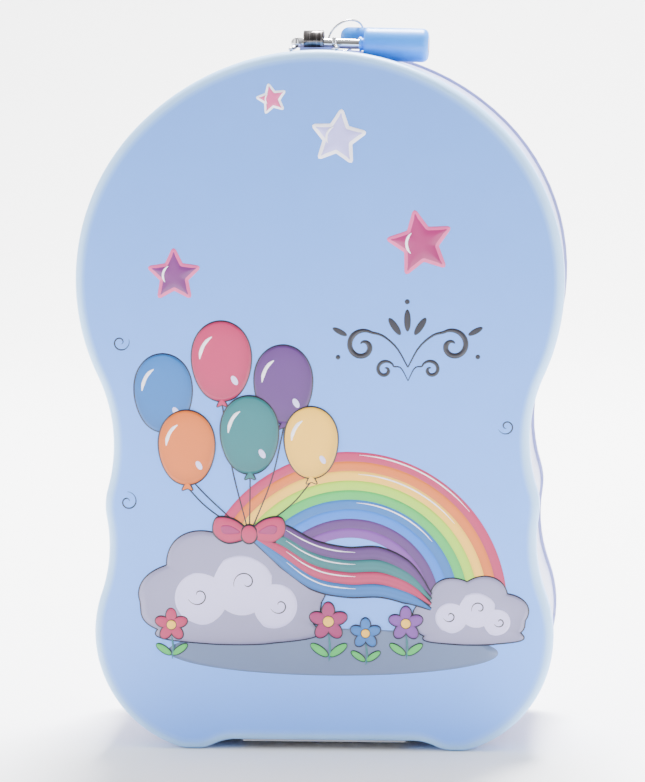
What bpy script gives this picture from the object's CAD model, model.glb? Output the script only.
"""A tin money box with an embossed, printed front cover and a small barrel padlock on its crown."""

import math

import bpy
import numpy as np
from mathutils import Matrix, Vector


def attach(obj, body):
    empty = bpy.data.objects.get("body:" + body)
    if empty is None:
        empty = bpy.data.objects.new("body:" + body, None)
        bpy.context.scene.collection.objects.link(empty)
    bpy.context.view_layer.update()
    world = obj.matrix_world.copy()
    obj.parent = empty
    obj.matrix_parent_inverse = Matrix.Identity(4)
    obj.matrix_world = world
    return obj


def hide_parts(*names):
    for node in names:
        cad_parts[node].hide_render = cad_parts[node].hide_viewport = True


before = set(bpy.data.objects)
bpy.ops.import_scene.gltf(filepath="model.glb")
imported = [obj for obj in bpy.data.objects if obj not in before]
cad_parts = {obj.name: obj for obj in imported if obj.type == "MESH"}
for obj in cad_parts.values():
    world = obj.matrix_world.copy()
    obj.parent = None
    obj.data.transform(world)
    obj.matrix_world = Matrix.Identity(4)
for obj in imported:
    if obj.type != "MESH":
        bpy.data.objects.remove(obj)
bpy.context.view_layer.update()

# ---------------------------------------------------------------- sizes, mm
FACE_Y = -24.4
RIM_R = 2.0
SHEET = 0.3
SKIRT_Y = -18.0
BAND_IN = 0.7
BAND_T = 0.35
BAND_Y0 = -22.5
BAND_Y1 = 24.58
SLOT_HALF = 18.0
SLOT_Y0 = 5.5
SLOT_Y1 = 10.5
RECESS = 2.3
CROWN = (0.0, 60.0)
SHOULDER = (5.7, 52.0)
WAIST = (87.37, 38.0)
BUMP = (36.65, 15.0)
DIP = (86.9, 36.0)
LOBE = (26.0, 28.8)
FOOT = (31.6, 12.0)
FOOT_Z = 11.9
SOLE_R = 12.0
HASP_X = -1.0
LOCK_X = -2.3
LEG_Y = -15.5
LEG_R = 1.2
GAUGE = 2.3
TILT = math.radians(2.0)
SLEEVE_R = 2.35
SLEEVE_W = 4.7
HOOK_R = 0.5
RING_R = 4.5
RING_WIRE = 0.25
RING_TURN = math.radians(35.0)
RING_LEAN = math.radians(35.0)
SHELL_R = 3.95
SHELL_END = 24.6
BARREL_X = 9.4
BARREL_ROUND = 1.6
HOOD_X = 3.7
HOOD_ROUND = 2.0
HOOD_END = 9.6
HOOD_MID = 0.35
HOOD_FLOOR = -0.9
BOW_END = -8.0
SHORT_LEG_END = 12.45
LONG_LEG_END = 13.95
STRAP_HALF = 0.17
SLOT_ABOVE = 120.0
PANEL_MIDDLE = (0.0, 84.0)
LEVEL = 0.01
SINK = 0.1
LARGE = 6.0

# ------------------------------------------- paints: light given back, per colour
WHITE_CARD = 3.0
FACE = (0.32, 0.86, 2.45)
RIM = (1.02, 1.80, 2.85)
LAVENDER = (0.95, 1.02, 2.00)
SHADOW = (0.34, 0.50, 0.92)
CLOUD = (0.84, 0.80, 1.33)
MIST = (1.93, 1.81, 2.90)
ROSE = (1.27, 0.04, 0.28)
MAGENTA = (0.89, 0.04, 0.35)
PEACH = (1.98, 0.41, 0.04)
CREAM = (2.70, 1.50, 0.15)
LIME = (1.13, 1.94, 0.08)
GREEN = (0.12, 1.30, 0.25)
SKY = (0.03, 0.40, 1.31)
BLUE = (0.03, 0.50, 2.10)
TEAL = (0.03, 0.43, 0.49)
PURPLE = (0.25, 0.06, 0.47)
LILAC = (0.51, 0.11, 0.90)
BLUSH = (1.78, 0.24, 0.76)
SILVER = (1.31, 1.24, 2.56)
PLUM = (0.45, 0.07, 0.47)
PALE = (2.60, 2.50, 2.80)
INK = (0.03, 0.025, 0.05)
SHELL = (0.02, 0.78, 2.70)


def paint(colour):
    """Reflectance of a paint: light given back / light given back by a white card, at most 0.95."""
    return np.minimum(np.asarray(colour, float) / WHITE_CARD, 0.95)


# ------------------------------------------------------------ mesh building
def grid_faces(rows, cols, close_rows=False, close_cols=False):
    """Quads of a rows x cols grid; a closed direction joins its last line to its first."""
    i = np.arange(rows if close_rows else rows - 1)
    j = np.arange(cols if close_cols else cols - 1)
    i, j = np.meshgrid(i, j, indexing="ij")
    i1 = (i + 1) % rows
    j1 = (j + 1) % cols
    return np.stack([i * cols + j, i * cols + j1, i1 * cols + j1, i1 * cols + j], -1).reshape(-1, 4)


def build(name, points, faces, body, material, hides=(), colours=None):
    """One smooth mesh piece from millimetre points, faces and optional point colours."""
    mesh = bpy.data.meshes.new(name)
    mesh.from_pydata((points / 1000).tolist(), [], faces.tolist())
    mesh.polygons.foreach_set("use_smooth", np.full(len(mesh.polygons), True))
    if colours is not None:
        ink = mesh.color_attributes.new("ink", "FLOAT_COLOR", "POINT")
        ink.data.foreach_set("color", np.hstack([colours, np.ones((len(colours), 1))]).ravel())
    mesh.validate()
    mesh.update()
    piece = bpy.data.objects.new(name, mesh)
    bpy.context.scene.collection.objects.link(piece)
    piece.data.materials.append(material)
    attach(piece, body)
    if hides:
        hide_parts(*hides)


def outward(points, faces):
    """Faces turned so that the closed surface's signed volume, the sum of p0 . (p1 x p2) / 6, is positive."""
    a, b, c, d = (points[faces[:, k]] for k in range(4))
    volume = np.einsum("ij,ij->", a, np.cross(b, c)) + np.einsum("ij,ij->", a, np.cross(c, d))
    return faces if volume > 0 else faces[:, ::-1]


def shell(name, rings, body, material, hides=(), colours=None):
    """Closed piece from rings[k, j] of points, with each end ring fanned to its middle."""
    rows, cols = rings.shape[:2]
    first = rows * cols
    last = first - cols
    points = np.vstack([rings.reshape(-1, 3), rings[0].mean(0), rings[-1].mean(0)])
    if colours is not None:
        colours = np.vstack([colours.reshape(-1, 3), colours[0].mean(0), colours[-1].mean(0)])
    j = np.arange(cols)
    j1 = (j + 1) % cols
    head = np.stack([j1, j, np.full(cols, first), np.full(cols, first)], -1)
    tail = np.stack([last + j, last + j1, np.full(cols, first + 1), np.full(cols, first + 1)], -1)
    faces = outward(points, np.vstack([grid_faces(rows, cols, False, True), head, tail]))
    fans = [tuple(dict.fromkeys(f)) for f in faces[-2 * cols:].tolist()]
    mixed = np.array(faces[:-2 * cols].tolist() + fans, dtype=object)
    build(name, points, mixed, body, material, hides, colours)


def between(a, b, c, d, f):
    """Catmull-Rom point from b to c: half of 2b + (c-a)f + (2a-5b+4c-d)f^2 + (3b-a-3c+d)f^3."""
    square = (2 * a - 5 * b + 4 * c - d) * f ** 2
    cube = (3 * b - a - 3 * c + d) * f ** 3
    return 0.5 * (2 * b + (c - a) * f + square + cube)


def curve(points, count):
    """Catmull-Rom curve through the given points, evenly stepped in its parameter."""
    p = np.asarray(points, float)
    p = np.vstack([2 * p[0] - p[1], p, 2 * p[-1] - p[-2]])
    t = np.linspace(0, len(p) - 3 - 1e-9, count)
    k = t.astype(int)
    f = (t - k)[:, None]
    return between(p[k], p[k + 1], p[k + 2], p[k + 3], f)


def tube(path, radius, sides):
    """Rings of a round rod: path + radius (cos t n + sin t b) with a frame swept along the path."""
    p = np.asarray(path, float)
    d = np.gradient(p, axis=0)
    d /= np.linalg.norm(d, axis=1, keepdims=True)
    n = np.zeros_like(d)
    start = np.cross(d[0], [0.31, 0.82, 0.48])
    n[0] = start / np.linalg.norm(start)
    for k in range(1, len(p)):
        v = n[k - 1] - d[k] * (n[k - 1] @ d[k])
        n[k] = v / np.linalg.norm(v)
    b = np.cross(d, n)
    t = np.linspace(0, 2 * np.pi, sides, endpoint=False)
    r = np.broadcast_to(np.asarray(radius, float), (len(p),))
    ring = np.cos(t)[None, :, None] * n[:, None] + np.sin(t)[None, :, None] * b[:, None]
    return p[:, None] + r[:, None, None] * ring


def turned(profile, count=96):
    """Rings of a solid turned about X: each profile (x, r) becomes (x, r cos t, r sin t)."""
    prof = np.asarray(profile, float)
    t = np.linspace(0, 2 * np.pi, count, endpoint=False)
    x = np.broadcast_to(prof[:, 0:1], (len(prof), count))
    return np.stack([x, prof[:, 1:2] * np.cos(t), prof[:, 1:2] * np.sin(t)], -1)


# ---------------------------------------------------------- box's outline
def outline_half(inset, density):
    """Right half of the outline moved in by inset: tangent arcs x = cx + r cos a, z = cz + r sin a."""
    sole_z = RECESS - SOLE_R
    sole_x = FOOT[0] - math.sqrt((SOLE_R + FOOT[1]) ** 2 - (FOOT_Z - sole_z) ** 2)
    lobe_z = FOOT_Z + math.sqrt((LOBE[1] - FOOT[1]) ** 2 - (FOOT[0] - LOBE[0]) ** 2)
    dip_z = lobe_z + math.sqrt((LOBE[1] + DIP[1]) ** 2 - (DIP[0] - LOBE[0]) ** 2)
    bump_z = dip_z + math.sqrt((BUMP[1] + DIP[1]) ** 2 - (DIP[0] - BUMP[0]) ** 2)
    waist_z = bump_z + math.sqrt((BUMP[1] + WAIST[1]) ** 2 - (WAIST[0] - BUMP[0]) ** 2)
    shoulder_z = waist_z + math.sqrt((SHOULDER[1] + WAIST[1]) ** 2 - (WAIST[0] - SHOULDER[0]) ** 2)
    crown_z = shoulder_z - math.sqrt((CROWN[1] - SHOULDER[1]) ** 2 - SHOULDER[0] ** 2)
    sole = math.atan2(FOOT_Z - sole_z, FOOT[0] - sole_x)
    lobe = math.atan2(FOOT_Z - lobe_z, FOOT[0] - LOBE[0])
    dip = math.atan2(dip_z - lobe_z, DIP[0] - LOBE[0])
    bump = math.atan2(bump_z - dip_z, BUMP[0] - DIP[0])
    waist = math.atan2(waist_z - bump_z, WAIST[0] - BUMP[0])
    shoulder = math.atan2(shoulder_z - waist_z, SHOULDER[0] - WAIST[0])
    crown = math.atan2(shoulder_z - crown_z, SHOULDER[0])
    arcs = (
        (sole_x, sole_z, SOLE_R + inset, math.pi / 2, sole),
        (FOOT[0], FOOT_Z, FOOT[1] - inset, sole - math.pi, lobe),
        (LOBE[0], lobe_z, LOBE[1] - inset, lobe, dip),
        (DIP[0], dip_z, DIP[1] + inset, dip + math.pi, bump),
        (BUMP[0], bump_z, BUMP[1] - inset, bump - math.pi, waist),
        (WAIST[0], waist_z, WAIST[1] + inset, waist + math.pi, shoulder),
        (SHOULDER[0], shoulder_z, SHOULDER[1] - inset, shoulder - math.pi, crown),
        (0.0, crown_z, CROWN[1] - inset, crown, math.pi / 2),
    )
    flat = np.stack([np.linspace(0, sole_x, 16), np.full(16, RECESS + inset)], -1)
    parts = [flat]
    for cx, cz, r, a0, a1 in arcs:
        steps = max(4, int(abs(a1 - a0) * density))
        a = np.linspace(a0, a1, steps + 1)[1:]
        parts.append(np.stack([cx + r * np.cos(a), cz + r * np.sin(a)], -1))
    half = np.vstack(parts)
    half[:, 1] = np.maximum(half[:, 1], inset)
    return half, crown_z


def outline(inset, density=44):
    """Whole outline, anticlockwise from the middle of the flat bottom."""
    half, _ = outline_half(inset, density)
    return np.vstack([half, (half[1:-1] * [-1, 1])[::-1]])


CROWN_Z = outline_half(0.0, 20)[1]
TOP_Z = CROWN_Z + CROWN[1]
LEG_Z = TOP_Z + 1.55
SLEEVE_Z = TOP_Z + 2.2
RING_CENTRE = (6.2, LEG_Y + 3.6, TOP_Z + 3.13)


def at_depth(flat, y):
    """Outline points (x, z) set at depth y."""
    return np.stack([flat[:, 0], np.full(len(flat), y), flat[:, 1]], -1)


# --------------------------------------------------------------- finishes
def finish(name, colour=None, rough=0.4, metal=0.0, coat=0.0, wear=0.06, grain=(60.0, 60.0, 60.0),
           bump=0.03, shade=0.06, ink=False, peel=900.0):
    """A surface finish: mottled colour, uneven gloss and a fine relief, all from object-space noise."""
    mat = bpy.data.materials.new(name)
    mat.use_nodes = True
    nodes = mat.node_tree.nodes
    link = mat.node_tree.links.new
    shader = nodes["Principled BSDF"]
    place = nodes.new("ShaderNodeTexCoord")
    stretch = nodes.new("ShaderNodeMapping")
    stretch.inputs["Scale"].default_value = grain
    link(place.outputs["Object"], stretch.inputs["Vector"])
    mottle = nodes.new("ShaderNodeTexNoise")
    mottle.inputs["Scale"].default_value = 1.0
    mottle.inputs["Detail"].default_value = 6.0
    link(stretch.outputs["Vector"], mottle.inputs["Vector"])
    fine = nodes.new("ShaderNodeTexNoise")
    fine.inputs["Scale"].default_value = peel
    fine.inputs["Detail"].default_value = 2.0
    link(place.outputs["Object"], fine.inputs["Vector"])
    tone = nodes.new("ShaderNodeMapRange")
    tone.inputs["From Min"].default_value = 0.25
    tone.inputs["From Max"].default_value = 0.75
    tone.inputs["To Min"].default_value = 1.0 - shade
    tone.inputs["To Max"].default_value = 1.0 + shade * 0.4
    link(mottle.outputs["Fac"], tone.inputs["Value"])
    mix = nodes.new("ShaderNodeVectorMath")
    mix.operation = "SCALE"
    if ink:
        printed = nodes.new("ShaderNodeAttribute")
        printed.attribute_name = "ink"
        link(printed.outputs["Color"], mix.inputs[0])
    else:
        mix.inputs[0].default_value = tuple(paint(colour))
    link(tone.outputs["Result"], mix.inputs["Scale"])
    link(mix.outputs["Vector"], shader.inputs["Base Color"])
    gloss = nodes.new("ShaderNodeMapRange")
    gloss.inputs["From Min"].default_value = 0.3
    gloss.inputs["From Max"].default_value = 0.7
    gloss.inputs["To Min"].default_value = max(0.02, rough - wear)
    gloss.inputs["To Max"].default_value = rough + wear
    link(mottle.outputs["Fac"], gloss.inputs["Value"])
    link(gloss.outputs["Result"], shader.inputs["Roughness"])
    relief = nodes.new("ShaderNodeBump")
    relief.inputs["Strength"].default_value = bump
    relief.inputs["Distance"].default_value = 0.0003
    link(fine.outputs["Fac"], relief.inputs["Height"])
    link(relief.outputs["Normal"], shader.inputs["Normal"])
    shader.inputs["Metallic"].default_value = metal
    shader.inputs["Coat Weight"].default_value = coat
    shader.inputs["Coat Roughness"].default_value = 0.12
    return mat


sky_tin = finish("sky_tin", rough=0.4, coat=0.1, shade=0.03, bump=0.05, ink=True)
print_tin = finish("print_tin", rough=0.42, coat=0.08, shade=0.05, bump=0.05, ink=True)
lavender_tin = finish("lavender_tin", LAVENDER, rough=0.4, coat=0.2, shade=0.04, bump=0.05)
brushed = finish("brushed_strap", (0.55, 0.5, 0.5), rough=0.24, metal=1.0, wear=0.12,
                 grain=(2600.0, 90.0, 90.0), shade=0.75, bump=0.25)
plain_steel = finish("rolled_steel", (1.3, 1.3, 1.35), rough=0.38, metal=1.0, shade=0.25, bump=0.08,
                     grain=(40.0, 600.0, 600.0))
bright_wire = finish("plated_wire", (1.55, 1.55, 1.62), rough=0.2, metal=1.0, shade=0.12, bump=0.05)
chrome = finish("polished_rod", (1.95, 1.95, 2.0), rough=0.1, metal=1.0, wear=0.05, shade=0.08, bump=0.03)
blue_shell = finish("blue_shell", SHELL, rough=0.36, coat=0.08, shade=0.06, bump=0.06, peel=500.0)
brass = finish("turned_brass", (1.9, 1.1, 0.35), rough=0.3, metal=1.0, shade=0.2, bump=0.06)


# --------------------------------------------------------------- the cover
def cover_piece():
    """Cover: flat panel, rolled rim, skirt and the same shape inside, one sheet thickness behind.

    A panel ring is middle + s (outline - middle). The rim's ring at angle a is the outline moved in by
    R - R sin a, at R - R cos a behind the face. Its paint is tinted paler where the rim rolls.
    """
    panel = outline(RIM_R)
    middle = np.array(PANEL_MIDDLE)
    share = np.append(np.linspace(0.02, 0.988, 13), 1.0)
    turn = np.radians(np.linspace(0, 90, 11))[1:]
    inner_r = RIM_R - SHEET
    outer_panel = np.stack([at_depth(middle + s * (panel - middle), FACE_Y) for s in share])
    edge = np.stack([at_depth(outline(RIM_R - RIM_R * np.sin(a)), FACE_Y + RIM_R - RIM_R * np.cos(a))
                     for a in turn])
    hem = np.stack([at_depth(outline(0.0), SKIRT_Y - 0.12), at_depth(outline(0.05), SKIRT_Y),
                    at_depth(outline(SHEET - 0.05), SKIRT_Y), at_depth(outline(SHEET), SKIRT_Y - 0.12)])
    inside = np.stack([at_depth(outline(RIM_R - inner_r * np.sin(a)), FACE_Y + RIM_R - inner_r * np.cos(a))
                       for a in turn[::-1]])
    inner_panel = np.stack([at_depth(middle + s * (panel - middle), FACE_Y + SHEET) for s in share[::-1]])
    rings = np.concatenate([outer_panel, edge, hem, inside, inner_panel])
    plain_rings = np.zeros(len(inside) + len(inner_panel))
    rim_share = np.concatenate([np.zeros(13), [0.35], np.sin(2 * turn[:-1]) ** 0.35,
                                [0.5, 0.35, 0.3, 0.3, 0.3], plain_rings])[:, None, None]
    lift = 1.42 - 0.58 * np.clip(rings[..., 2:3] / TOP_Z, 0, 1)
    tint = paint(FACE) * lift * (1 - rim_share) + paint(RIM) * rim_share
    shell("cover_shell", rings, "cover", sky_tin, ["front_cover"], tint)


cover_piece()


# ---------------------------------------------------------------- the band
def band_piece():
    """Side band: outer and inner walls on a depth x outline grid, with the coin slot's quads left out."""
    line_out = outline(BAND_IN)
    line_in = outline(BAND_IN + BAND_T)
    lo_row = 11
    hi_row = lo_row + 3
    depths = np.concatenate([np.linspace(BAND_Y0, SLOT_Y0, lo_row + 1),
                             np.linspace(SLOT_Y0, SLOT_Y1, hi_row - lo_row + 1)[1:],
                             np.linspace(SLOT_Y1, BAND_Y1, 8)[1:]])
    cols = len(line_out)
    rows = len(depths)
    walls = np.concatenate([np.stack([at_depth(line_out, y) for y in depths]),
                            np.stack([at_depth(line_in, y) for y in depths[::-1]])])
    points = walls.reshape(-1, 3)
    faces = grid_faces(2 * rows, cols, True, True)
    row = np.repeat(np.arange(2 * rows), cols)
    col = np.tile(np.arange(cols), 2 * rows)
    mid_x = (line_out[:, 0] + np.roll(line_out[:, 0], -1)) / 2
    on_slot = (np.abs(mid_x[col]) < SLOT_HALF) & (line_out[col, 1] > SLOT_ABOVE)
    in_out = (row >= lo_row) & (row < hi_row)
    in_in = (row >= 2 * rows - 1 - hi_row) & (row < 2 * rows - 1 - lo_row)
    keep = ~(on_slot & (in_out | in_in))
    slot_cols = np.unique(col[on_slot])
    outer_lo = lo_row * cols
    outer_hi = hi_row * cols
    inner_lo = (2 * rows - 1 - lo_row) * cols
    inner_hi = (2 * rows - 1 - hi_row) * cols
    nxt = slot_cols + 1
    front_lip = np.stack([outer_lo + slot_cols, outer_lo + nxt, inner_lo + nxt, inner_lo + slot_cols], -1)
    back_lip = np.stack([outer_hi + nxt, outer_hi + slot_cols, inner_hi + slot_cols, inner_hi + nxt], -1)
    k = np.arange(lo_row, hi_row)
    across = 2 * rows - 1 - k
    ends = []
    for c, flip in ((slot_cols[0], False), (slot_cols[-1] + 1, True)):
        q = np.stack([k * cols + c, (k + 1) * cols + c, (across - 1) * cols + c, across * cols + c], -1)
        ends.append(q if flip else q[:, ::-1])
    good = outward(points, faces)
    flipped = not np.array_equal(good, faces)
    extra = np.vstack([front_lip, back_lip, ends[0], ends[1]])
    faces = np.vstack([good[keep], extra if flipped else extra[:, ::-1]])
    build("band_shell", points, faces, "box", lavender_tin, ["side_band"])


band_piece()


# ---------------------------------------------------- printed, raised design
print_points = []
print_faces = []
print_colours = []
print_count = 0


def lay(points, colours):
    """Adds one raised patch of print: a grid of points facing the viewer, with its colours."""
    global print_count
    rows, cols = points.shape[:2]
    faces = grid_faces(rows, cols)
    a, b, c = (points.reshape(-1, 3)[faces[:, k]] for k in range(3))
    if np.cross(b - a, c - a)[:, 1].sum() > 0:
        faces = faces[:, ::-1]
    print_points.append(points.reshape(-1, 3))
    print_faces.append(faces + print_count)
    print_colours.append(np.broadcast_to(colours, points.shape).reshape(-1, 3))
    print_count += rows * cols


def raised(flat, height, layer):
    """Points (x, z) at the cover's face, raised by height and by their layer's step."""
    y = FACE_Y - np.asarray(layer) * LEVEL - height
    return np.stack([flat[..., 0], np.broadcast_to(y, flat.shape[:-1]), flat[..., 1]], -1)


def grown(edge_line, amount):
    """Closed line moved outwards by amount along its normal."""
    ahead = np.roll(edge_line, -1, 0)
    d = ahead - np.roll(edge_line, 1, 0)
    d /= np.maximum(np.linalg.norm(d, axis=1, keepdims=True), 1e-9)
    n = np.stack([d[:, 1], -d[:, 0]], -1)
    area = np.sum(edge_line[:, 0] * ahead[:, 1] - ahead[:, 0] * edge_line[:, 1])
    return edge_line + n * amount * (1 if area > 0 else -1)


def blob(edge_line, colour, layer, height=0.1, line=0.3, shade=0.25, centre=None, ink=INK, lit=0.0):
    """Pillow over a star-shaped region: rises as 1 - s^4 from edge to centre, darker towards its edge.

    A wider, lower and darker copy of it lies beneath as its outline. A small one has fewer rings.
    """
    centre = edge_line.mean(0) if centre is None else np.asarray(centre, float)
    sides = [(grown(edge_line, line), paint(ink), layer - 1.5, 0.7 * height, 0.0)] if line > 0 else []
    sides.append((edge_line, paint(colour), layer, height, shade))
    for rim, tint, level, rise, dark in sides:
        closed = np.vstack([rim, rim[:1]])
        rows = 12 if np.abs(edge_line - centre).max() > LARGE else 7
        s = np.concatenate([np.linspace(0, 1, rows) ** 0.8, [1.0]])[:, None, None]
        flat = centre + s * (closed - centre)
        up = rise * (1 - np.minimum(s[..., 0], 1) ** 4) * np.ones(closed.shape[0])
        up[-1] = -level * LEVEL - SINK
        light = (closed - centre) @ np.array([-0.5, 0.86])
        light = light / np.abs(light).max()
        fac = 1 - dark * s[..., 0] ** 5 * (0.6 - 0.4 * light) + lit * s[..., 0] * light
        lay(raised(flat, up, level), tint * fac[..., None])


def ribbon(path, width, colour, layer, height=0.1, line=0.26, shade=0.3, count=60, streak=0.0):
    """Raised strip along a path: centre + n w v, with height (1 - v^4), tapering to its ends."""
    c = curve(path, count)
    w = np.interp(np.linspace(0, 1, count), np.linspace(0, 1, len(width)), width)
    d = np.gradient(c, axis=0)
    d /= np.linalg.norm(d, axis=1, keepdims=True)
    n = np.stack([-d[:, 1], d[:, 0]], -1)
    v = np.concatenate([[-1.0], np.linspace(-1, 1, 11 if max(width) > 1 else 3), [1.0]])
    sides = [(w + line, paint(INK), layer - 1.5, 0.7 * height, 0.0, 0.0)] if line > 0 else []
    sides.append((w, paint(colour), layer, height, shade, streak))
    for half, tint, level, rise, dark, lines in sides:
        flat = c[:, None] + n[:, None] * (half[:, None] * v)[..., None]
        up = rise * (1 - v ** 4) * np.ones((count, 1))
        up[:, [0, -1]] = -level * LEVEL - SINK
        fac = 1 - dark * np.abs(v) ** 3 - lines * (0.5 + 0.5 * np.cos(v * 9.0))
        lay(raised(flat, up, level), tint * fac[None, :, None] * np.ones((count, 1, 1)))


def stroke(path, width, layer, colour=INK, count=44, taper=True):
    """Thin printed line along a path, narrower at its ends."""
    profile = (0.25, 1, 1, 1, 0.25) if taper else (1, 1)
    ribbon(path, np.array(profile) * width, colour, layer, 0.015, line=0, shade=0.0, count=count)


def oval(x, z, a, b, turn_deg=0.0):
    """Closed oval about (x, z), with more points the larger it is."""
    count = int(np.clip(14 * max(a, b), 24, 120))
    t = np.linspace(0, 2 * np.pi, count, endpoint=False)
    r = math.radians(turn_deg)
    p = np.stack([a * np.cos(t), b * np.sin(t)], -1)
    return p @ np.array([[math.cos(r), math.sin(r)], [-math.sin(r), math.cos(r)]]) + [x, z]


def smooth_loop(points, count=90):
    """Closed curve through the given points."""
    p = np.asarray(points, float)
    ring = np.vstack([p[-1:], p, p[:2]])
    t = np.linspace(0, len(p), count, endpoint=False)
    k = t.astype(int)
    f = (t - k)[:, None]
    return between(ring[k], ring[k + 1], ring[k + 2], ring[k + 3], f)


def star_edge(x, z, size, turn_deg, dip=0.5, count=120):
    """Five-pointed star: straight sides between tips at size and dips at dip * size, slightly rounded."""
    t = np.linspace(0, 10, count, endpoint=False)
    k = t.astype(int)
    f = t - k
    a = np.radians(turn_deg + 90 + 36 * np.arange(11))
    r = np.where(np.arange(11) % 2 == 0, size, size * dip)
    p = np.stack([r * np.cos(a), r * np.sin(a)], -1)
    edge_line = p[k] * (1 - f)[:, None] + p[k + 1] * f[:, None]
    soft = (np.roll(edge_line, 1, 0) + 2 * edge_line + np.roll(edge_line, -1, 0)) / 4
    return soft + [x, z]


def star(x, z, size, turn_deg, colour, rim, layer=3, height=0.34, line=0.45):
    """Embossed star with a pale rim and a curved highlight."""
    blob(star_edge(x, z, size, turn_deg), colour, layer, height, line, 0.12, ink=rim, lit=0.08)
    t = np.radians(np.linspace(120, 215, 9) + turn_deg)
    arc = np.stack([x + 0.42 * size * np.cos(t), z + 0.42 * size * np.sin(t)], -1)
    stroke(arc, size * 0.04, layer + 35, PALE)


def curl(x, z, size, start_deg, hand=1, width=0.16, lead=None, layer=5, turns=1.2):
    """Scroll: r = size (1 - 0.82 t), winding in by turns, with an optional stem leading into it."""
    t = np.linspace(0, 1, 30)
    a = math.radians(start_deg) + hand * turns * 2 * np.pi * t
    r = size * (1 - 0.82 * t)
    p = np.stack([x + r * np.cos(a), z + r * np.sin(a)], -1)
    if lead is not None:
        p = np.vstack([np.asarray(lead, float), p])
    stroke(p, width, layer, INK, count=110)


def rainbow(x, z, outer, inner):
    """Plain half-round arch of equal stripes about (x, z)."""
    stripes = [ROSE, PEACH, CREAM, LIME, GREEN, SKY, BLUE, PURPLE, LILAC]
    radii = np.linspace(outer, inner, len(stripes) + 1)
    a = np.radians(np.linspace(178, 2, 120))
    around = np.stack([np.cos(a), np.sin(a)], -1)
    for k, colour in enumerate(stripes):
        r = np.linspace(radii[k], radii[k + 1], 9)
        v = np.linspace(-1, 1, 9)[:, None] * np.ones(len(a))
        flat = np.array([x, z]) + r[:, None, None] * around
        lay(raised(flat, 0.07 * (1 - v ** 6), 3), paint(colour) * (1.0 - 0.15 * np.abs(v) ** 3)[..., None])
    for k in (0, 2, 5):
        r = radii[k] * 0.7 + radii[k + 1] * 0.3
        stroke(np.array([x, z]) + r * around[62:96:4], 0.16, 11, PALE)


def cloud(x, z, half, rise, layer, height=0.14, lobes=7):
    """Round-topped cloud: an oval whose radius swells by |sin| between its lobes, flattened below."""
    t = np.linspace(0, 2 * np.pi, 220, endpoint=False)
    swell = 1 + 0.2 * np.abs(np.sin(0.5 * lobes * t + 0.5))
    low = -0.66 * np.abs(np.sin(t)) ** 0.35
    tall = np.where(np.sin(t) < 0, low, swell * np.sin(t))
    edge_line = np.stack([x + half * swell * np.cos(t), z + rise * tall], -1)
    blob(edge_line, CLOUD, layer, height, 0.3, 0.3, centre=(x, z))
    for dx, dz, a, b in ((-0.38, 0.05, 0.36, 0.42), (0.1, 0.22, 0.42, 0.5), (0.5, -0.05, 0.3, 0.36)):
        blob(oval(x + dx * half, z + dz * rise, a * half, b * rise), MIST, layer + 12, 0.04, 0, 0.12)
    for dx, dz, size, hand in ((-0.44, 0.1, 0.14, 1), (0.16, 0.3, 0.16, -1), (0.58, -0.05, 0.12, 1)):
        curl(x + dx * half, z + dz * rise, size * half, 200, hand, 0.14, layer=layer + 18, turns=0.9)


def balloon(x, z, half, rise, colour, layer, knot):
    """Balloon: an oval narrowing downwards, its tied neck, two glints and its string to the knot."""
    t = np.linspace(0, 2 * np.pi, 96, endpoint=False)
    narrow = 1 - 0.16 * (1 - np.sin(t)) * 0.5 * np.abs(np.cos(t))
    edge_line = np.stack([x + half * narrow * np.cos(t), z + rise * np.sin(t)], -1)
    neck = z - rise
    bend = 0.14 * (x - knot[0])
    middle_x = (x + knot[0]) / 2 + bend
    stroke([(x, neck - 0.8), (middle_x, (neck + knot[1]) / 2), knot], 0.16, 12, INK, taper=False)
    blob(smooth_loop([(x, neck + 0.5), (x - 1.2, neck - 1.3), (x, neck - 1.0), (x + 1.2, neck - 1.3)]),
         colour, layer, 0.05, 0.22, 0.2)
    blob(edge_line, colour, layer + 1, 0.12, 0.3, 0.32, centre=(x - 0.2 * half, z + 0.2 * rise))
    arc = np.radians(np.linspace(115, 175, 7))
    gleam = np.stack([x + 0.68 * half * np.cos(arc), z + 0.68 * rise * np.sin(arc)], -1)
    stroke(gleam, 0.42, layer + 12, PALE)
    blob(oval(x + 0.4 * half, z - 0.48 * rise, 0.09 * half, 0.13 * rise, 30), MIST, layer + 12, 0.015, 0, 0.0)


def flower(x, z, size, colour, layer):
    """Five-petalled flower on a short stem with two leaves."""
    stroke([(x, z - size), (x + 0.3, z - 2.2 * size), (x, z - 3.2 * size)], 0.24, layer, TEAL)
    for side in (-1, 1):
        leaf = oval(x + side * 0.75 * size, z - 2.3 * size, 0.8 * size, 0.3 * size, side * 35)
        blob(leaf, GREEN, layer, 0.06, 0.18, 0.25)
    for k in range(5):
        a = math.radians(90 + 72 * k)
        petal = oval(x + 0.82 * size * math.cos(a), z + 0.82 * size * math.sin(a),
                     0.72 * size, 0.5 * size, 90 + 72 * k)
        blob(petal, colour, layer + 2 + k, 0.08, 0.2, 0.3)
    blob(oval(x, z, 0.42 * size, 0.42 * size), CREAM, layer + 16, 0.05, 0.16, 0.15)


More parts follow.
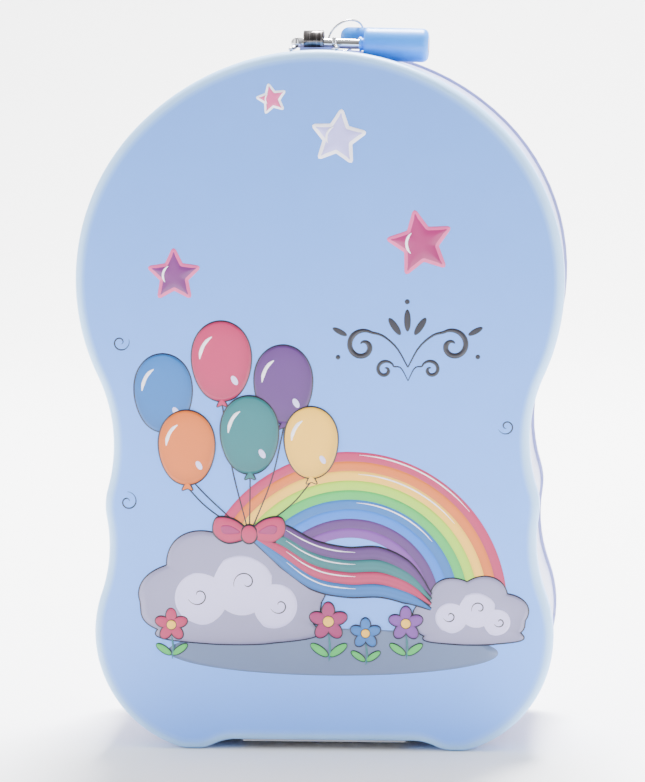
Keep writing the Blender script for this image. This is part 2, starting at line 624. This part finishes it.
def streamers(knot):
    """Curled paper ribbons from the bow, side by side, each a drop lower than the one above it."""
    x, z = knot
    for k, colour in enumerate((PURPLE, TEAL, ROSE, SKY)):
        drop = 2.9 * k
        path = [knot, (x + 7, z + 1.4 - 0.8 * drop), (x + 15, z - 2.6 - drop), (x + 23, z - 4.4 - drop),
                (x + 31, z - 4.4 - drop), (x + 38, z - 8.0 - 0.8 * drop), (x + 43, z - 14.0 - 0.4 * drop)]
        width = (0.4, 1.5, 1.6, 1.6, 1.5, 0.2)
        ribbon(path, width, colour, 20 + k, 0.1, 0.24, 0.35, count=90, streak=0.12)
        stroke(curve(path, 60)[12:34:5] + [0.1, 0.5], 0.14, 32 + k, PALE)


def bow(knot):
    """Two loops and a round knot holding the strings together."""
    x, z = knot
    for side in (-1, 1):
        loop = smooth_loop([(x, z), (x + side * 3.2, z + 3.6), (x + side * 7.6, z + 4.2),
                            (x + side * 8.4, z + 0.6), (x + side * 5.0, z - 1.8)])
        blob(loop, ROSE, 30, 0.1, 0.28, 0.35)
        inner = smooth_loop([(x + side * 2.2, z + 0.7), (x + side * 4.4, z + 2.3), (x + side * 6.6, z + 2.2),
                             (x + side * 6.0, z + 0.4)])
        blob(inner, MAGENTA, 41, 0.02, 0, 0.2)
    blob(oval(x, z + 0.3, 1.9, 2.2), ROSE, 38, 0.1, 0.26, 0.3)


def flourish(x, z):
    """Mirrored scrolls with leaves and dots about the line at x; it spells nothing."""
    for side in (-1, 1):
        curl(x + side * 10.6, z + 1.0, 3.9, 90 + side * 35, -side, 0.62,
             lead=[(x, z - 4.0), (x + side * 2.6, z + 0.6), (x + side * 5.8, z + 3.4)])
        curl(x + side * 5.4, z - 4.6, 2.3, 90 + side * 70, -side, 0.42,
             lead=[(x, z - 7.2), (x + side * 1.6, z - 4.2)])
        blob(oval(x + side * 3.0, z + 5.6, 2.4, 0.8, 90 - side * 34), INK, 5, 0.03, 0, 0.0)
        blob(oval(x + side * 15.9, z + 4.4, 1.9, 0.65, 90 - side * 62), INK, 5, 0.03, 0, 0.0)
        blob(oval(x + side * 16.4, z - 1.6, 0.55, 0.55), INK, 5, 0.03, 0, 0.0)
    blob(oval(x, z + 7.0, 0.8, 2.6), INK, 5, 0.03, 0, 0.0)
    blob(oval(x, z + 11.4, 0.6, 0.6), INK, 5, 0.03, 0, 0.0)


def picture():
    """Balloons tied with a bow over clouds, a rainbow, flowers and stars."""
    blob(oval(2.4, 24.0, 39.4, 5.7), SHADOW, 1, 0.02, 0, 0.0)
    rainbow(7.0, 35.0, 37.0, 16.5)
    knot = (-17.0, 52.0)
    bunch = ((-37.0, 86.0, 7.4, 9.2, SKY, 6), (-23.0, 93.5, 7.6, 9.4, ROSE, 8),
             (-8.4, 88.0, 7.4, 9.2, PURPLE, 10), (-31.6, 73.0, 7.2, 8.8, PEACH, 20),
             (-2.0, 74.2, 6.8, 8.4, CREAM, 21), (-16.6, 76.0, 7.4, 9.2, TEAL, 25))
    bed = ((-36.0, 30.4, 2.6, ROSE), (1.6, 31.4, 3.0, MAGENTA), (10.4, 28.6, 2.4, SKY),
           (20.0, 31.0, 2.7, LILAC))
    for x, z, half, rise, colour, layer in bunch:
        balloon(x, z, half, rise, colour, layer, knot)
    cloud(-21.0, 36.0, 19.0, 15.5, 14)
    cloud(35.5, 32.0, 11.5, 9.0, 14)
    streamers(knot)
    bow(knot)
    for x, z, size, colour in bed:
        flower(x, z, size, colour, 24)
    star(-10.2, 154.9, 3.5, 12, BLUSH, PALE, line=0.3)
    star(5.2, 145.8, 6.4, -8, SILVER, PALE)
    star(24.2, 121.0, 7.7, 10, MAGENTA, BLUSH)
    star(-33.9, 113.8, 6.2, 0, PLUM, BLUSH)
    flourish(21.0, 96.0)
    curl(-47.0, 98.0, 2.2, 20, -1)
    curl(-46.0, 60.0, 2.4, 90, -1)
    curl(44.0, 78.0, 2.0, 200, 1)


picture()
build("cover_print", np.vstack(print_points), np.vstack(print_faces), "cover", print_tin,
      colours=np.vstack(print_colours))


# ------------------------------------------------------- hasp and padlock
def lock_place(points):
    """Padlock's own frame to the box's: turned down by the tilt, then set on the leg's axis at the hasp."""
    x = points[..., 0] - LOCK_X
    y = points[..., 1]
    z = points[..., 2]
    return np.stack([HASP_X + x * math.cos(TILT) + z * math.sin(TILT), LEG_Y + y,
                     LEG_Z - x * math.sin(TILT) + z * math.cos(TILT)], -1)


def shackle_piece():
    """Shackle rod: front leg, half circle of radius GAUGE and longer rear leg, eased at both its ends."""
    bow_x = BOW_END + LEG_R + GAUGE
    swing = np.radians(np.linspace(-90, -270, 40))
    bend = np.stack([bow_x + GAUGE * np.cos(swing), GAUGE + GAUGE * np.sin(swing), np.zeros(40)], -1)
    front = np.stack([np.linspace(SHORT_LEG_END, bow_x, 24)[:-1], np.zeros(23), np.zeros(23)], -1)
    rear = np.stack([np.linspace(bow_x, LONG_LEG_END, 24)[1:], np.full(23, 2 * GAUGE), np.zeros(23)], -1)
    rod = np.vstack([front, bend, rear])
    radius = np.full(len(rod), LEG_R)
    radius[[0, -1]] = LEG_R * 0.82
    shell("shackle_rod", lock_place(tube(rod, radius, 40)), "shackle", chrome, ["shackle"])


shackle_piece()


def hook(name, x, side):
    """Hasp wire: foot along the cover's edge, up in front of the rod, curling over it at its tip."""
    bend = LEG_R + HOOK_R + 0.2
    foot = x + side * 0.9
    skin = CROWN_Z + math.sqrt(CROWN[1] ** 2 - foot ** 2) + HOOK_R + 0.03
    a = np.radians(np.linspace(0, 34, 8))
    tip = np.stack([np.full(8, x), LEG_Y - bend * np.cos(a), LEG_Z + bend * np.sin(a)], -1)
    path = np.vstack([[(foot, -22.6, skin), (foot, -20.4, skin), (foot - side * 0.05, -19.1, skin + 0.05),
                       (x + side * 0.4, -18.3, skin + 0.35), (x, LEG_Y - bend, TOP_Z + 1.0)], tip])
    line = curve(path, 70)
    r = np.full(70, HOOK_R)
    r[[0, -1]] = HOOK_R * 0.35
    r[[1, -2]] = HOOK_R * 0.8
    shell(name, tube(line, r, 24), "cover", bright_wire, [name.replace("wire_", "")])


hook("wire_hook_left", -5.0, -1)
hook("wire_hook_right", 3.9, 1)


def tongue():
    """Curled sleeve of sheet about the rod and its foot on the base strip: one thick folded line along X."""
    a = np.radians(np.linspace(-5, -352, 72))
    roll_r = SLEEVE_R - 0.18
    roll = np.stack([LEG_Y + roll_r * np.cos(a), SLEEVE_Z + roll_r * np.sin(a)], -1)[::-1]
    back = LEG_Y + SLEEVE_R - 0.2
    foot_z = TOP_Z - STRAP_HALF
    drop = np.array([(back, SLEEVE_Z - 1.2), (back, foot_z + 0.7), (back + 0.2, foot_z + 0.2),
                     (back + 0.7, foot_z)])
    tail = np.stack([np.linspace(back + 1.5, LEG_Y + 7.2, 6), np.full(6, foot_z)], -1)
    line = np.vstack([roll, drop, tail])
    d = np.gradient(line, axis=0)
    d /= np.linalg.norm(d, axis=1, keepdims=True)
    n = np.stack([-d[:, 1], d[:, 0]], -1) * STRAP_HALF
    x0 = HASP_X - SLEEVE_W / 2
    x1 = HASP_X + SLEEVE_W / 2
    c = 0.07
    ring = [(x0 + c, 1), (x1 - c, 1), (x1, 0.6), (x1, -0.6),
            (x1 - c, -1), (x0 + c, -1), (x0, -0.6), (x0, 0.6)]
    rings = np.stack([np.column_stack([np.full(len(line), x), line + s * n]) for x, s in ring], 1)
    shell("tongue_strap", rings, "box", brushed, ["hasp_tongue"])


tongue()


def barrel_piece():
    """Padlock's barrel: a profile turned about its axis, with a rounded end and a recess for the plug."""
    a = np.radians(np.linspace(0, 90, 10))
    barrel = [(BARREL_X, LEG_R), (BARREL_X, SHELL_R - 0.35), (BARREL_X + 0.1, SHELL_R - 0.12),
              (BARREL_X + 0.35, SHELL_R)]
    barrel += [(x, SHELL_R) for x in np.linspace(BARREL_X + 1.1, SHELL_END - 2.0, 12)]
    barrel += list(np.stack([SHELL_END - BARREL_ROUND + BARREL_ROUND * np.sin(a),
                             SHELL_R - BARREL_ROUND + BARREL_ROUND * np.cos(a)], -1))
    barrel += [(SHELL_END - 0.05, 2.02), (SHELL_END - 0.8, 2.0), (SHELL_END - 0.8, 1.0)]
    rings = lock_place(turned(barrel) + [0, GAUGE, 0])
    reach = CROWN[1] - BAND_IN + 0.35
    crown_skin = CROWN_Z + np.sqrt(reach ** 2 - rings[..., 0] ** 2)
    rings[..., 2] = np.maximum(rings[..., 2], crown_skin)
    shell("padlock_barrel", rings, "lock", blue_shell, ["lock_sheath"])


def hood_piece():
    """Padlock's rear half, reaching left round the long leg: arcs of radius r(x), rounded at the left."""
    start = HOOD_X + HOOD_ROUND * (1 - np.cos(np.radians(np.linspace(0, 90, 12))))
    x = np.concatenate([start, np.linspace(HOOD_X + 2.5, HOOD_END, 6)])
    short = np.maximum(0, HOOD_X + HOOD_ROUND - x)
    r = SHELL_R - HOOD_ROUND + np.sqrt(np.maximum(0, HOOD_ROUND ** 2 - short ** 2))
    t = np.radians(np.linspace(-13, 85, 40))
    arc_y = np.maximum(r[:, None] * np.cos(t), HOOD_MID)
    arc_z = np.maximum(r[:, None] * np.sin(t), HOOD_FLOOR)
    low = np.stack([np.full(len(x), HOOD_MID), np.full(len(x), HOOD_FLOOR)], -1)[:, None]
    rim = np.concatenate([np.stack([arc_y, arc_z], -1), low], 1)
    rings = np.concatenate([np.broadcast_to(x[:, None, None], rim.shape[:2] + (1,)), rim], -1)
    rings[..., 1] += GAUGE
    shell("padlock_hood", lock_place(rings), "lock", blue_shell)


barrel_piece()
hood_piece()


def ring_piece():
    """Key ring: centre + R u(t) + r (cos s u(t) + sin s side), turned about the upright and leaning."""
    around = 120
    sides = 16
    t = np.linspace(0, 2 * np.pi, around, endpoint=False)
    s = np.linspace(0, 2 * np.pi, sides, endpoint=False)
    along = np.array([math.cos(RING_TURN), math.sin(RING_TURN), 0])
    across = np.array([-math.sin(RING_TURN), math.cos(RING_TURN), 0])
    rise = np.array([0, 0, math.cos(RING_LEAN)]) - across * math.sin(RING_LEAN)
    radial = np.cos(t)[:, None] * along + np.sin(t)[:, None] * rise
    side = np.cross(along, rise)
    wire = np.cos(s)[None, :, None] * radial[:, None] + np.sin(s)[None, :, None] * side
    rings = (np.array(RING_CENTRE) + RING_R * radial)[:, None] + RING_WIRE * wire
    points = rings.reshape(-1, 3)
    faces = outward(points, grid_faces(around, sides, True, True))
    build("key_ring_wire", points, faces, "ring", bright_wire, ["key_ring"])


ring_piece()

plain = {
    "back_panel": lavender_tin,
    "hasp_base": lavender_tin,
    "hinge_leaf_body": plain_steel,
    "hinge_leaf_cover": plain_steel,
    "hinge_pin": bright_wire,
    "strap_rivets": bright_wire,
    "lock_core": brass,
    "leg_bush": blue_shell,
    "shackle_spring": bright_wire,
    "latch_cam": bright_wire,
    "key_plug": brass,
    "plug_clip": bright_wire,
}
for node, mat in plain.items():
    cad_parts[node].data.materials.clear()
    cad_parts[node].data.materials.append(mat)


# ------------------------------------------------------------------ studio
SWEEP_HALF = 2.4
SWEEP_FRONT = -1.6
SWEEP_BEND = 0.9
SWEEP_R = 0.6
SWEEP_TOP = 3.2


def sweep():
    """Paper floor in metres that bends up into a wall through an arc of radius SWEEP_R."""
    a = np.radians(np.linspace(10, 90, 9))
    y = np.concatenate([np.linspace(SWEEP_FRONT, SWEEP_BEND, 12), SWEEP_BEND + SWEEP_R * np.sin(a),
                        [SWEEP_BEND + SWEEP_R]])
    z = np.concatenate([np.zeros(12), SWEEP_R - SWEEP_R * np.cos(a), [SWEEP_TOP]])
    x = np.linspace(-SWEEP_HALF, SWEEP_HALF, 8)
    grid = np.stack(np.broadcast_arrays(x[None], y[:, None], z[:, None]), -1)
    mesh = bpy.data.meshes.new("sweep")
    mesh.from_pydata(grid.reshape(-1, 3).tolist(), [], grid_faces(len(y), len(x)).tolist())
    mesh.polygons.foreach_set("use_smooth", np.full(len(mesh.polygons), True))
    floor = bpy.data.objects.new("studio_sweep", mesh)
    bpy.context.scene.collection.objects.link(floor)
    paper = finish("backdrop_paper", (2.86, 2.86, 2.88), rough=0.8, shade=0.004, bump=0.0)
    floor.data.materials.append(paper)


sweep()


def lamp(name, place, aim, size, power):
    """Square soft white light at a place, turned to aim."""
    data = bpy.data.lights.new(name, "AREA")
    data.shape = "SQUARE"
    data.size = size
    data.energy = power
    lit = bpy.data.objects.new(name, data)
    bpy.context.scene.collection.objects.link(lit)
    lit.location = place
    lit.rotation_mode = "QUATERNION"
    lit.rotation_quaternion = (Vector(aim) - Vector(place)).to_track_quat("-Z", "Y")


lamp("overhead", (0.1, 0.6, 1.4), (0, 0.0, 0), 0.6, 150)
lamp("left_soft", (-1.3, -0.35, 0.5), (0, 0, 0.08), 0.8, 13)
lamp("right_soft", (1.3, -0.3, 0.5), (0, 0, 0.08), 0.8, 11)

world = bpy.data.worlds.new("studio")
bpy.context.scene.world = world
world.use_nodes = True
room = world.node_tree.nodes
sky_place = room.new("ShaderNodeTexCoord")
split = room.new("ShaderNodeSeparateXYZ")
fade = room.new("ShaderNodeMapRange")
fade.inputs["From Min"].default_value = -0.9
fade.inputs["From Max"].default_value = 0.1
fade.inputs["To Min"].default_value = 0.35
fade.inputs["To Max"].default_value = 2.0
world.node_tree.links.new(sky_place.outputs["Generated"], split.inputs["Vector"])
world.node_tree.links.new(split.outputs["Y"], fade.inputs["Value"])
world.node_tree.links.new(fade.outputs["Result"], room["Background"].inputs["Strength"])
room["Background"].inputs["Color"].default_value = (1.0, 1.0, 1.0, 1.0)

AZIMUTH = math.radians(5.5)
RISE = math.radians(6.6)
ROLL = math.radians(0.7)
DISTANCE = 0.69
aim = Vector((0.0009, -0.025, 0.0865))
back = Vector((math.sin(AZIMUTH) * math.cos(RISE), -math.cos(AZIMUTH) * math.cos(RISE), math.sin(RISE)))
lens = bpy.data.cameras.new("camera")
lens.lens = 135.2
lens.sensor_width = 36.0
lens.clip_start = 0.01
lens.clip_end = 20.0
camera = bpy.data.objects.new("camera", lens)
bpy.context.scene.collection.objects.link(camera)
camera.rotation_mode = "QUATERNION"
camera.location = aim + back * DISTANCE
look = (-back).to_track_quat("-Z", "Y").to_matrix()
camera.rotation_quaternion = (look @ Matrix.Rotation(-ROLL, 3, "Z")).to_quaternion()
bpy.context.scene.camera = camera
